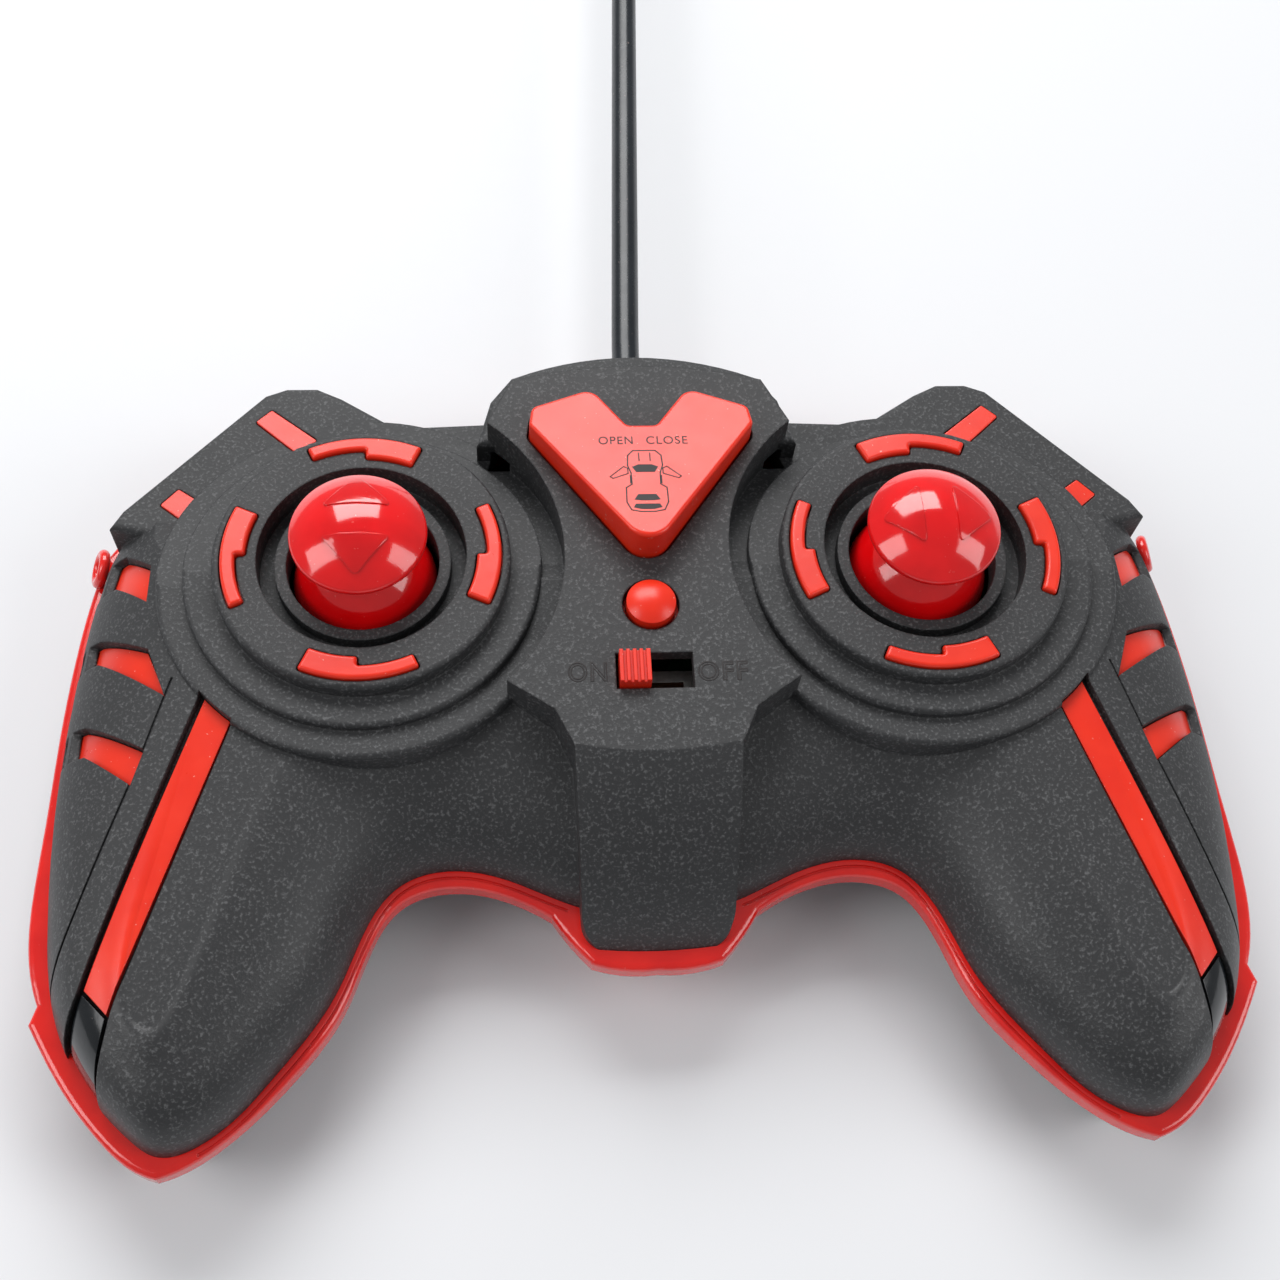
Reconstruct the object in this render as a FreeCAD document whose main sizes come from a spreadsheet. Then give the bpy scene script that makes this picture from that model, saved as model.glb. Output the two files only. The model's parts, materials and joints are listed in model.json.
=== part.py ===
import FreeCAD, Part
import Sketcher
import math
import os

# Hand-held radio transmitter of a toy car, as an assembly of separate pieces.
# Millimetres. X points to the player's right, Y away from the player along the aerial and
# Z up. The pieces are drawn about the line through the two thumb sticks. As they are written
# out they are moved by ORIGIN_MOVE, so that the origin falls on the resting face of the lower
# shell, on the middle plane and in front of the battery door.

Vector = FreeCAD.Vector
Rotation = FreeCAD.Rotation
Placement = FreeCAD.Placement
ORIGIN_MOVE = Vector(0, 26.0, 0)

doc = FreeCAD.newDocument("transmitter")
sheet = doc.addObject("Spreadsheet::Sheet", "Sizes")

SIZES = [
    ("wall", 2.0, "wall of the two housing shells"),
    ("fit_gap", 0.35, "clearance between a moving control and its opening"),
    ("band_bottom", 11.5, "underside of the trim band"),
    ("band_top", 14.5, "upper face of the trim band, where the top cover stands"),
    ("dial_x", 37.6, "distance of each stick from the middle plane"),
    ("flange_radius", 27.3, "lowest step of a dial"),
    ("step_radius", 23.6, "middle step of a dial"),
    ("face_radius", 19.5, "raised face of a dial"),
    ("flange_top", 30.2, "height of the lowest step"),
    ("step_top", 31.6, "height of the middle step"),
    ("face_top", 34.0, "height of the dial face"),
    ("well_radius", 13.7, "round well about a stick"),
    ("lip_radius", 11.6, "outer radius of the lip about a stick"),
    ("mouth_radius", 10.05, "opening in the lip"),
    ("arc_outer", 18.5, "outer radius of the arcs let into a dial face"),
    ("arc_inner", 14.9, "inner radius of an arc's thick half"),
    ("arc_step", 16.2, "inner radius of an arc's thin half"),
    ("panel_top", 34.2, "height of the centre panel"),
    ("ear_top", 25.3, "height of the two rear shoulders"),
    ("pivot_height", 26.0, "height of the stick pivots"),
    ("dome_radius", 9.75, "outer radius of a stick's dome"),
    ("cap_radius", 8.85, "radius of a stick's cap"),
    ("cap_top", 43.4, "top of a stick's cap"),
    ("pin_radius", 1.0, "radius of a stick's axle pin"),
    ("board_bottom", 19.0, "underside of the circuit board"),
    ("board_thickness", 1.6, "circuit board"),
    ("board_length", 104.0, "circuit board along X"),
    ("board_width", 36.0, "circuit board along Y"),
    ("cell_radius", 7.25, "size AA cell"),
    ("cell_length", 49.5, "size AA cell without its button"),
    ("bay_length", 58.0, "battery bay along X"),
    ("bay_width", 30.4, "battery bay along Y"),
    ("bay_centre_y", -2.8, "middle of the battery bay"),
    ("door_thickness", 1.8, "battery door"),
    ("aerial_radius", 2.1, "plastic sleeve of the aerial"),
    ("aerial_core", 0.9, "steel wire of the aerial"),
    ("aerial_height", 18.3, "height of the aerial's axis"),
    ("aerial_end", 234.0, "tip of the aerial along Y"),
    ("switch_width", 4.5, "slide switch knob along Y"),
    ("switch_length", 4.0, "slide switch knob along X"),
    ("switch_y", -17.85, "middle of the slide switch"),
    ("round_radius", 3.25, "round push button"),
    ("round_y", -8.2, "middle of the round push button"),
    ("screw_radius", 1.25, "shank of a housing screw"),
]
for row, (alias, number, meaning) in enumerate(SIZES, start=1):
    sheet.set("A%d" % row, alias)
    sheet.set("B%d" % row, "%g" % number)
    sheet.set("C%d" % row, meaning)
    sheet.setAlias("B%d" % row, alias)
doc.recompute()


def size(alias):
    """A driving dimension, read from the sheet."""
    return float(sheet.get(alias))


WALL = size("wall")
BAND_TOP = size("band_top")
BAND_BOTTOM = size("band_bottom")
BOARD_TOP = size("board_bottom") + size("board_thickness")
PANEL_UNDER = size("panel_top") - WALL
PIVOT = size("pivot_height")
DIAL = (size("dial_x"), 0.0)

# ---------------------------------------------------------------- helpers


def node(name, shape):
    """A sub-part whose shape is made with Part's own functions."""
    piece = doc.addObject("Part::Feature", name)
    piece.Label = name
    piece.Shape = shape
    return piece


def bind(piece, **expressions):
    """Tie properties of a document object to expressions on the sheet."""
    for name, expression in expressions.items():
        piece.setExpression(name, expression)
    return piece


def primitive(kind, name, place, rotation=None, **expressions):
    """A Part primitive whose sizes are bound to the sheet."""
    piece = bind(doc.addObject("Part::" + kind, name), **expressions)
    piece.Placement = Placement(Vector(*place), rotation or Rotation())
    return piece


def combine(kind, name, *pieces):
    """A boolean of document objects: Cut takes two, MultiFuse takes any number."""
    piece = doc.addObject("Part::" + kind, name)
    piece.Label = name
    if kind == "Cut":
        piece.Base, piece.Tool = pieces
    else:
        piece.Shapes = list(pieces)
    return piece


def box(x_range, y_range, z_range):
    """A block between two corners."""
    low = Vector(x_range[0], y_range[0], z_range[0])
    return Part.makeBox(x_range[1] - x_range[0], y_range[1] - y_range[0], z_range[1] - z_range[0], low)


def rod(radius, start, end):
    """A round bar from one point to another."""
    start = Vector(*start)
    along = Vector(*end) - start
    return Part.makeCylinder(radius, along.Length, start, along)


def fused(shapes):
    """One shape from many."""
    first, rest = shapes[0], shapes[1:]
    return first.fuse(rest).removeSplitter() if rest else first


def prism(points, low, high, corner=0.0):
    """A straight-sided plate over a polygon, with its upright corners rounded."""
    loop = [Vector(x, y, low) for x, y in points]
    plate = Part.Face(Part.makePolygon(loop + loop[:1])).extrude(Vector(0, 0, high - low))
    if corner:
        upright = [edge for edge in plate.Edges if abs(edge.tangentAt(edge.FirstParameter).z) > 0.99]
        plate = plate.makeFillet(corner, upright)
    return plate


def softened(solid, radius, test):
    """Round the edges for which test(edge) holds."""
    chosen = [edge for edge in solid.Edges if test(edge)]
    return solid.makeFillet(radius, chosen)


def at_height(height):
    """True for an edge that lies in the level plane at this height."""
    def test(edge):
        return abs(edge.BoundBox.ZMin - height) < 0.01 and abs(edge.BoundBox.ZMax - height) < 0.01
    return test


def off_middle(test):
    """The same test, but False for an edge that lies in the middle plane."""
    def both(edge):
        return test(edge) and max(abs(edge.BoundBox.XMin), abs(edge.BoundBox.XMax)) > 0.01
    return both


def mirror_image(shape):
    """The same shape on the other side of the middle plane."""
    return shape.mirror(Vector(0, 0, 0), Vector(1, 0, 0))


def whole(half_shape):
    """Both halves of a symmetric piece in one."""
    return half_shape.fuse(mirror_image(half_shape)).removeSplitter()


def turned(profile, centre=(0, 0), angle=360):
    """A solid of revolution about an upright axis, from (radius, height) points or arcs."""
    edges = []
    for start, middle, end in profile:
        ends = [Vector(centre[0] + radius, centre[1], height) for radius, height in (start, end)]
        if middle is None:
            edges.append(Part.LineSegment(*ends).toShape())
        else:
            through = Vector(centre[0] + middle[0], centre[1], middle[1])
            edges.append(Part.Arc(ends[0], through, ends[1]).toShape())
    face = Part.Face(Part.Wire(edges))
    return face.revolve(Vector(centre[0], centre[1], 0), Vector(0, 0, 1), angle)


def domed(start, top):
    """A profile side for turned(): part of a sphere from start up to top on the axis."""
    radius = start[0]
    rise = top[1] - start[1]
    sphere = (radius * radius + rise * rise) / (2 * abs(rise))
    half_angle = math.asin(min(1.0, radius / sphere)) / 2
    drop = sphere * (1 - math.cos(half_angle))
    return (start, (sphere * math.sin(half_angle), top[1] - math.copysign(drop, rise)), top)


# ---------------------------------------------------------------- housing outline

# Right half of the seam outline, from the middle of the front round the right grip to the
# middle of the rear. Each place is paired with the place on the body's backbone towards
# which the crowned surface climbs from there.
SEAM_HALF = [
    ((0.0, -42.8), (0.0, -8.0)),
    ((10.3, -42.4), (9.0, -8.0)),
    ((18.7, -38.7), (20.0, -8.0)),
    ((26.0, -37.0), (31.0, -9.0)),
    ((32.9, -38.6), (42.0, -14.0)),
    ((37.6, -44.5), (50.0, -25.0)),
    ((41.4, -53.5), (55.0, -38.0)),
    ((49.1, -64.0), (59.0, -51.0)),
    ((55.9, -70.4), (61.0, -56.5)),
    ((61.6, -72.1), (62.0, -57.5)),
    ((65.4, -69.8), (63.0, -57.0)),
    ((69.2, -66.0), (63.8, -55.5)),
    ((73.0, -60.8), (63.8, -52.0)),
    ((75.9, -54.0), (62.6, -46.0)),
    ((77.6, -44.0), (60.0, -37.0)),
    ((78.4, -31.0), (57.0, -26.0)),
    ((78.2, -18.0), (54.0, -15.0)),
    ((77.3, -6.0), (51.0, -6.0)),
    ((76.0, 4.0), (48.5, 0.0)),
    ((73.8, 11.2), (47.0, 2.0)),
    ((68.0, 18.0), (44.0, 3.0)),
    ((60.4, 26.4), (41.0, 4.0)),
    ((53.8, 33.0), (38.0, 4.0)),
    ((50.4, 34.6), (36.0, 4.0)),
    ((46.0, 34.6), (33.0, 3.0)),
    ((42.2, 32.8), (30.0, 2.0)),
    ((38.0, 29.8), (27.0, 1.0)),
    ((33.5, 28.4), (24.0, 0.0)),
    ((28.0, 29.0), (20.0, -2.0)),
    ((22.5, 31.2), (15.0, -4.0)),
    ((17.0, 34.2), (11.0, -5.0)),
    ((9.0, 36.2), (6.0, -5.5)),
    ((0.0, 36.8), (0.0, -5.5)),
]
SLOPE_Y = -20.0

# How the crown climbs: share of the way to the backbone, height there, and fall of that
# level plane towards the grips.
CROWN = [
    (0.0, BAND_TOP, 0.0),
    (0.03, 17.4, 0.008),
    (0.10, 20.7, 0.025),
    (0.22, 23.8, 0.045),
    (0.40, 26.5, 0.07),
    (0.62, 28.4, 0.09),
    (0.88, 29.3, 0.10),
]
# The underside, from the seam down to the resting face.
BELLY = [
    (0.0, BAND_BOTTOM, 0.0),
    (0.045, 7.4, 0.0),
    (0.12, 3.6, 0.0),
    (0.21, 1.0, 0.0),
    (0.30, 0.0, 0.0),
]


def inset(loop, distance):
    """Each point of a loop that turns anticlockwise, moved inwards."""
    moved = []
    for number, (x, y) in enumerate(loop):
        before = loop[number - 1]
        after = loop[(number + 1) % len(loop)]
        along_x = after[0] - before[0]
        along_y = after[1] - before[1]
        length = math.hypot(along_x, along_y)
        moved.append((x - along_y / length * distance, y + along_x / length * distance))
    return moved


def inset_half(half, distance):
    """The places of a half outline moved inwards; its two ends slide along the middle plane."""
    whole = [(-half[1][0], half[1][1])] + half + [(-half[-2][0], half[-2][1])]
    moved = []
    for before, here, after in zip(whole, whole[1:], whole[2:]):
        along_x = after[0] - before[0]
        along_y = after[1] - before[1]
        length = math.hypot(along_x, along_y)
        moved.append((here[0] - along_y / length * distance, here[1] + along_x / length * distance))
    return moved


def crowned(levels, depth, lift):
    """The right half of a crowned body through the levels, shrunk inwards by depth."""
    loop = inset_half([seam for seam, spine in SEAM_HALF], depth)
    rows = []
    for share, height, slope in levels:
        row = []
        for (x, y), (seam, (spine_x, spine_y)) in zip(loop, SEAM_HALF):
            level_x = x + share * (spine_x - x)
            level_y = y + share * (spine_y - y)
            row.append(Vector(level_x, level_y, height + lift + slope * (level_y - SLOPE_Y)))
        rows.append(row)
    skin = Part.BSplineSurface()
    skin.interpolate(rows)
    side = skin.toShape()
    corners = [rows[0][0], rows[0][-1], rows[-1][0], rows[-1][-1]]
    low_line = Part.LineSegment(corners[0], corners[1]).toShape()
    high_line = Part.LineSegment(corners[2], corners[3]).toShape()

    def rim(start, end):
        for edge in side.Edges:
            ends = [vertex.Point for vertex in edge.Vertexes]
            if min(ends[0].distanceToPoint(start) + ends[-1].distanceToPoint(end),
                   ends[0].distanceToPoint(end) + ends[-1].distanceToPoint(start)) < 0.001:
                return edge

    low_rim = rim(corners[0], corners[1])
    high_rim = rim(corners[2], corners[3])
    front = rim(corners[0], corners[2])
    rear = rim(corners[1], corners[3])
    faces = [side]
    for loop_edges in ((low_rim, low_line), (high_rim, high_line), (front, high_line, rear, low_line)):
        faces.append(Part.Face(Part.Wire(Part.__sortEdges__(list(loop_edges)))))
    shell = Part.Shell(faces)
    shell.sewShape()
    return Part.Solid(shell)


def rear_wedge(depth):
    """What is cut away so that the crown falls from the sticks towards the rear."""
    points = [(-3.0, 31.3 - depth), (13.0, 24.4 - depth), (60.0, 22.0 - depth), (60.0, 60.0), (-3.0, 60.0)]
    loop = [Vector(-100, y, z) for y, z in points]
    return Part.Face(Part.makePolygon(loop + loop[:1])).extrude(Vector(200, 0, 0))


def crown(depth):
    """The crowned upper body, its surface lying depth below the outside."""
    return crowned(CROWN, depth, -depth).cut(rear_wedge(depth))


# ---------------------------------------------------------------- features of the top cover

EAR = [
    (73.0, 10.2), (71.4, 13.0), (53.0, 32.4), (50.0, 33.6), (45.6, 33.6), (42.0, 31.8),
    (34.2, 26.6), (20.0, 27.2), (20.0, 6.0), (61.0, 7.6),
]
REAR_BLOCK = [(22.6, 20.0), (20.6, 27.5), (17.6, 31.6)]
REAR_BLOCK_Y = 35.4
REAR_BLOCK_TOP = 30.2
PANEL_ARC = 26.6
PANEL_REAR_Y = 30.4
PANEL_REAR = (17.6, 27.9)
PANEL_WING_Y = 20.8
PANEL_FLARE_Y = -18.9
PANEL_WAIST = (12.9, -23.0)
TONGUE_TOP = (10.6, -28.0)
TONGUE_SIDE = (9.9, -44.6)
TONGUE_CORNER = (9.1, -47.1)
TONGUE_TOE = (7.0, -48.5)
TONGUE_FRONT_Y = -49.1
TONGUE_BEND_Y = 20.0

WINDOWS = [
    [(66.2, 2.8), (70.5, 6.3), (84.0, 8.4), (84.0, 3.2), (71.4, 1.2), (66.3, -2.9)],
    [(65.4, -10.2), (72.7, -6.5), (84.0, -4.3), (84.0, -8.2), (72.7, -10.2), (62.6, -17.4)],
    [(64.7, -24.4), (73.4, -19.2), (84.0, -17.0), (84.0, -21.6), (73.1, -23.6), (66.2, -29.0)],
]
WINDOW_SILL = 15.6
CHANNEL_DEPTH = 1.6
PILOT_TOP = 20.0
ARC_ROOF = size("face_top") - 1.6
BAR_HEIGHTS = (19.7, 20.8)
STRIP = [(53.6, -20.0), (57.4, -18.2), (70.1, -54.0), (67.0, -57.3)]
STRIP_END = [(67.2, -57.7), (70.4, -54.4), (75.0, -65.6), (70.9, -72.0)]
CHANNEL = [(53.1, -19.7), (58.0, -17.4), (70.8, -53.9), (76.2, -65.5), (70.6, -73.5), (66.4, -57.5)]
CREASE = [(61.6, -15.0), (66.1, -29.0), (72.0, -44.6), (76.0, -54.0)]
EAR_PADS = [
    [(64.0, 16.4), (60.9, 14.2), (63.4, 11.1), (66.5, 13.6)],
    [(51.8, 29.7), (45.0, 24.2), (48.2, 21.9), (54.2, 27.4)],
]
PAD_GAP = 0.2
PAD_RISE = 0.6
PAD_EDGE = 0.45
PAD_CORNER = 0.5
# Outline of the door button, right half, from its rear notch round to its front tip: each
# corner and the radius that rounds it.
V_HALF = [((2.0, 17.95), 1.2), ((6.6, 24.6), 2.2), ((14.9, 21.3), 1.4), ((15.35, 18.2), 1.2)]
V_TIP = ((0.0, -3.3), 3.35)
ROUND_GAP = 0.5
# The door button's top is a slope: its height at the front tip and at the rear lobes.
V_SLOPE = [(-6.0, 40.0), (30.0, 36.3)]


def arc_edge(start, middle, end, height):
    """A round stretch of an outline."""
    places = [Vector(place[0], place[1], height) for place in (start, middle, end)]
    return Part.Arc(*places).toShape()


def line_edge(start, end, height):
    """A straight stretch of an outline."""
    return Part.LineSegment(Vector(*start, height), Vector(*end, height)).toShape()


def panel_body(depth, low):
    """The right half of the centre panel and its tongue, from low up to its top face."""
    arc_radius = PANEL_ARC + depth
    dial = size("dial_x")

    def beside_dial(y):
        return (dial - math.sqrt(arc_radius * arc_radius - y * y), y)

    wing = beside_dial(PANEL_WING_Y - depth)
    flare = beside_dial(PANEL_FLARE_Y + 0.6 * depth)
    rear = (PANEL_REAR[0] - 0.7 * depth, PANEL_REAR[1] - depth)
    waist = (PANEL_WAIST[0] - depth, PANEL_WAIST[1])
    top = (TONGUE_TOP[0] - depth, TONGUE_TOP[1])
    side = (TONGUE_SIDE[0] - depth, TONGUE_SIDE[1] + 0.5 * depth)
    corner = (TONGUE_CORNER[0] - depth, TONGUE_CORNER[1] + 0.8 * depth)
    toe = (TONGUE_TOE[0] - depth, TONGUE_TOE[1] + depth)
    rear_middle = (0.0, PANEL_REAR_Y - depth)
    front_middle = (0.0, TONGUE_FRONT_Y + depth)
    outline = Part.Wire([
        line_edge(front_middle, toe, low), arc_edge(toe, corner, side, low), line_edge(side, top, low),
        line_edge(top, waist, low), line_edge(waist, flare, low),
        arc_edge(flare, (dial - arc_radius, 0.0), wing, low), line_edge(wing, rear, low),
        arc_edge(rear, (rear[0] / 2, (rear[1] + 3 * rear_middle[1]) / 4), rear_middle, low),
        line_edge(rear_middle, front_middle, low),
    ])
    block = Part.Face(outline).extrude(Vector(0, 0, 40 - low))
    roof = size("panel_top") - depth
    reach = TONGUE_BEND_Y
    crease = (reach + 29.0 - 0.4 * depth, roof)
    belly = (reach + 40.6 - depth, 25.6 - 0.4 * depth)
    foot = (reach + 49.9 - depth, 12.0)
    lid = turned([
        ((0, 0), None, (0, roof)), ((0, roof), None, crease),
        (crease, belly, foot), (foot, None, (foot[0], 0)), ((foot[0], 0), None, (0, 0)),
    ], (0, TONGUE_BEND_Y))
    return block.common(lid)


def rear_block(depth, low, high):
    """The right half of the lower step behind the panel, with the rear wall below it."""
    first, second, last = [(x - 0.7 * depth, y - depth) for x, y in REAR_BLOCK]
    middle = (0.0, REAR_BLOCK_Y - depth)
    bulge = (last[0] / 2, (last[1] + 3 * middle[1]) / 4)
    inner = (0.0, first[1])
    outline = Part.Wire([
        line_edge(inner, first, low), line_edge(first, second, low), line_edge(second, last, low),
        arc_edge(last, bulge, middle, low), line_edge(middle, inner, low),
    ])
    return Part.Face(outline).extrude(Vector(0, 0, high - low))


def ear_body(depth):
    """The right rear shoulder as a plate, shrunk by depth."""
    return prism(inset(EAR, depth), BAND_TOP - depth, size("ear_top") - depth)


def ring(outer, inner, low, high, centre):
    """A flat ring about an upright axis."""
    base = Vector(centre[0], centre[1], low)
    solid = Part.makeCylinder(outer, high - low, base)
    return solid.cut(Part.makeCylinder(inner, high - low, base)) if inner else solid


# The two lower steps of a dial fall towards the rear: height of that slope at two places.
STEP_FALL = [(-4.0, 30.6), (23.0, 25.4)]
FALL_LIFT = {"flange_radius": 0.0, "step_radius": 1.6, "face_radius": 20.0}


def fallen(step, lift):
    """A step of a dial with its top cut to the slope that falls towards the rear."""
    (near_y, near_z), (far_y, far_z) = STEP_FALL
    fall = [(near_y, near_z + lift), (far_y, far_z + lift), (far_y + 40, far_z + lift), (near_y, 80.0)]
    loop = [Vector(-100, y, z) for y, z in fall]
    return step.cut(Part.Face(Part.makePolygon(loop + loop[:1])).extrude(Vector(200, 0, 0)))


def dial_steps():
    """The three steps of the right dial, each with a rounded rim."""
    steps = []
    for radius, top, rim in (("flange_radius", "flange_top", 0.7), ("step_radius", "step_top", 0.6),
                             ("face_radius", "face_top", 0.6)):
        step = ring(size(radius), 0, BAND_TOP + 1.5, size(top), DIAL)
        steps.append(fallen(softened(step, rim, at_height(size(top))), FALL_LIFT[radius]))
    return steps


ARC_HALF_SPAN = 25.4


def arc_pad(turn, gap, low, high):
    """One stepped arc of the right dial, thick along one half and thin along the other."""
    outer = size("arc_outer") - gap
    thin = size("arc_step") + gap
    thick = size("arc_inner") + gap
    slack = gap / thin
    half_span = math.radians(ARC_HALF_SPAN) - slack

    def at(radius, angle):
        direction = math.radians(turn) - angle
        return Vector(DIAL[0] + radius * math.cos(direction), radius * math.sin(direction), low)

    edges = [
        Part.Arc(at(outer, -half_span), at(outer, 0), at(outer, half_span)).toShape(),
        Part.LineSegment(at(outer, half_span), at(thin, half_span)).toShape(),
        Part.Arc(at(thin, half_span), at(thin, half_span / 2), at(thin, -slack)).toShape(),
        Part.LineSegment(at(thin, -slack), at(thick, -slack)).toShape(),
        Part.Arc(at(thick, -slack), at(thick, -half_span / 2), at(thick, -half_span)).toShape(),
        Part.LineSegment(at(thick, -half_span), at(outer, -half_span)).toShape(),
    ]
    pad = Part.Face(Part.Wire(edges)).extrude(Vector(0, 0, high - low))
    return softened(pad, PAD_CORNER - gap, lambda edge: edge.BoundBox.ZLength > high - low - 0.01)


def arc_pads(gap, low, high):
    """The four arcs of the right dial."""
    return [arc_pad(turn, gap, low, high) for turn in (90, 0, -90, 180)]


def rounded_face(corners, height):
    """A level face over corners with a radius each."""
    ends = []
    for number, (corner, radius) in enumerate(corners):
        here = Vector(*corner, height)
        before = (Vector(*corners[number - 1][0], height) - here).normalize()
        after = (Vector(*corners[(number + 1) % len(corners)][0], height) - here).normalize()
        half_angle = before.getAngle(after) / 2
        reach = radius / math.tan(half_angle)
        towards = (before + after).normalize()
        middle = here + towards * (radius / math.sin(half_angle) - radius)
        ends.append((here + before * reach, middle, here + after * reach))
    edges = []
    for number, (start, middle, end) in enumerate(ends):
        edges.append(Part.LineSegment(ends[number - 1][2], start).toShape())
        edges.append(Part.Arc(start, middle, end).toShape())
    return Part.Face(Part.Wire(edges))


def v_outline(grow, low, high):
    """The door button's outline, grown by a margin, as a plate."""
    left = [((-x, y), radius) for (x, y), radius in V_HALF]
    face = rounded_face(V_HALF + [V_TIP] + left[::-1], low)
    if grow:
        face = face.makeOffset2D(grow)
    return face.extrude(Vector(0, 0, high - low))


HOUSING_SCREWS = [(60.0, -56.0), (58.0, 14.0), (26.0, -27.0)]
SCREW_PLACES = HOUSING_SCREWS + [(-x, y) for x, y in HOUSING_SCREWS]
POST_RADIUS = 3.0
LOWER_POST_RADIUS = 3.9


def make_top_cover():
    """The black upper shell with its dials, shoulders, centre panel and openings."""
    block = softened(rear_block(0.0, BAND_TOP, REAR_BLOCK_TOP), 0.9, off_middle(at_height(REAR_BLOCK_TOP)))
    outer = [crown(0.0), block, panel_body(0.0, BAND_TOP)]
    outer.append(softened(ear_body(0.0), 0.9, at_height(size("ear_top"))))
    outer += dial_steps()
    inner = [crown(WALL), rear_block(WALL, BAND_TOP - 2, REAR_BLOCK_TOP - WALL)]
    inner += [panel_body(WALL, BAND_TOP - 4), ear_body(WALL)]
    under = ring(size("flange_radius") - WALL, 0, BAND_TOP - 2, size("flange_top") - WALL, DIAL)
    inner.append(fallen(under, -WALL))
    inner.append(ring(size("arc_outer") + 0.1, size("arc_inner") - 0.2, 26.0, ARC_ROOF, DIAL))
    shell = fused(outer).cut(fused(inner))
    lip_base = size("flange_top") - WALL
    shell = shell.fuse(ring(14.7, size("mouth_radius"), lip_base - 0.1, 30.0, DIAL))
    cuts = [
        ring(size("well_radius"), size("lip_radius"), 30.0, 40.0, DIAL),
        ring(size("lip_radius") + 0.01, 0, 32.0, 40.0, DIAL),
        ring(size("mouth_radius"), 0, 20.0, 40.0, DIAL),
    ]
    cuts += arc_pads(0.0, 28.0, 36.0)
    channel = prism(CHANNEL, 10.0, 34.0).cut(crown(CHANNEL_DEPTH))
    cuts.append(channel.cut(ring(size("flange_radius") - 0.5, 0, 10.0, 40.0, DIAL)))
    crease = CREASE + [(x + 0.3, y + 0.1) for x, y in reversed(CREASE)]
    cuts.append(prism(crease, 16.0, 34.0).cut(crown(0.3)))
    cuts += [prism(outline, 20.0, size("ear_top") + 1.0, PAD_CORNER) for outline in EAR_PADS]
    bars = crown(0.0).cut(crown(0.8)).common(box((60, 90), (-40, 20), BAR_HEIGHTS))
    cuts += [prism(outline, WINDOW_SILL, 34.0).cut(bars) for outline in WINDOWS]
    gap = size("fit_gap")
    cuts.append(v_outline(gap, 28.0, 40.0))
    cuts.append(ring(size("round_radius") + ROUND_GAP, 0, 28.0, 40.0, (0, size("round_y"))))
    half_y = size("switch_width") / 2 + 0.3
    cuts.append(box((-5.0, 5.0), (size("switch_y") - half_y, size("switch_y") + half_y), (28.0, 40.0)))
    cuts.append(rod(3.0, (0, 30, size("aerial_height")), (0, 45, size("aerial_height"))))
    shell = shell.cut(cuts)
    posts = fused([rod(POST_RADIUS, (x, y, BAND_TOP), (x, y, 34.0)) for x, y in HOUSING_SCREWS])
    pilots = [rod(size("screw_radius"), (x, y, BAND_TOP), (x, y, PILOT_TOP)) for x, y in HOUSING_SCREWS]
    return whole(shell.fuse(posts.common(crown(WALL / 2))).cut(pilots))


node("top_cover", make_top_cover())

# ---------------------------------------------------------------- trim band

# Right half of the band's outer edge: straight or curved runs that meet at its corners.
BAND_RUNS = [
    [(0.0, -51.0), (5.0, -50.9), (8.6, -50.0)],
    [(8.6, -50.0), (11.4, -46.8), (13.6, -43.6)],
    [(13.6, -43.6), (20.0, -40.3), (26.3, -39.1), (33.0, -40.9), (37.0, -46.6), (40.4, -55.2),
     (46.6, -63.6), (54.4, -70.9), (59.6, -73.9), (61.9, -74.6)],
    [(61.9, -74.6), (64.6, -73.5), (68.9, -69.9), (74.6, -62.8), (79.0, -55.4)],
    [(79.0, -55.4), (78.2, -53.0)],
    [(78.2, -53.0), (80.0, -46.6), (80.3, -37.0), (79.9, -29.0), (79.4, -16.0), (78.5, -4.0),
     (77.4, 4.4), (75.8, 11.8)],
    [(75.8, 11.8), (70.2, 19.6), (62.8, 28.2), (56.0, 34.9)],
    [(56.0, 34.9), (51.2, 36.9), (45.2, 36.9), (40.6, 34.6)],
    [(40.6, 34.6), (36.6, 31.7), (33.2, 30.6), (28.6, 31.2), (23.6, 33.3), (17.8, 36.5),
     (9.4, 38.5), (0.0, 39.1)],
]
BAND_INNER_INSET = 3.4
BAND_EDGE = 0.8
LUG = (76.1, 9.4, 15.4)
# A fine groove follows the seam along the front of the band.
GROOVE_OUT = (-1.0, -0.7)
GROOVE_DEPTH = 0.3
GROOVE_X = 57.0
GROOVE_Y = -34.0


def smooth_edge(points, height):
    """A line through two points or a smooth curve through more, level at height."""
    places = [Vector(x, y, height) for x, y in points]
    if len(places) == 2:
        return Part.LineSegment(*places).toShape()
    curve = Part.BSplineCurve()
    curve.interpolate(Points=places)
    return curve.toShape()


def band_face(runs, height):
    """The right half of an outline as a level face, closed along the middle plane."""
    edges = [smooth_edge(run, height) for run in runs]
    edges.append(smooth_edge([runs[-1][-1], runs[0][0]], height))
    return Part.Face(Part.Wire(edges))


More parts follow.
